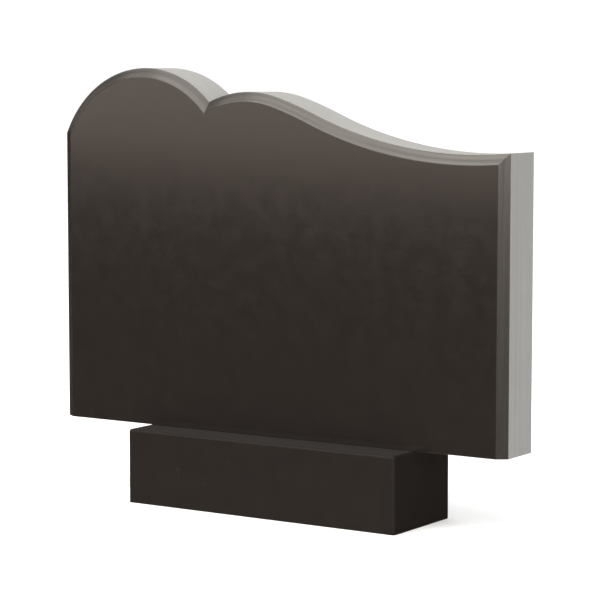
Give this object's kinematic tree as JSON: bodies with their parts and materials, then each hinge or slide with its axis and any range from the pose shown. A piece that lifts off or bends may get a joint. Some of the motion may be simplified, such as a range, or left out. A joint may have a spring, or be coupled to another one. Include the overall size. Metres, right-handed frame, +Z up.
{
  "type": "headstone",
  "caption": "Landscape headstone of polished dark stone, its top a large dome, a notch, a small dome and a long hollow sweep, on a low plinth block.",
  "frame": {"origin": "on the ground, under the middle of the slab's width and of the plinth's depth", "axes": "+Z up; -Y out of the face for the inscription, towards its reader; +X to the reader's right, along the slab's width"},
  "size_m": [1, 0.2, 0.8403],
  "materials": {
    "polished_gabbro": "near-black gabbro, ground and polished to a soft gloss, with fine grain and faint lighter clouds",
    "honed_gabbro": "the same stone left matt and pale grey by sawing and honing, with fine lines along the edge"
  },
  "bodies": {
    "root": {"stele": "polished_gabbro", "plinth": "polished_gabbro"}
  },
  "joints": []
}
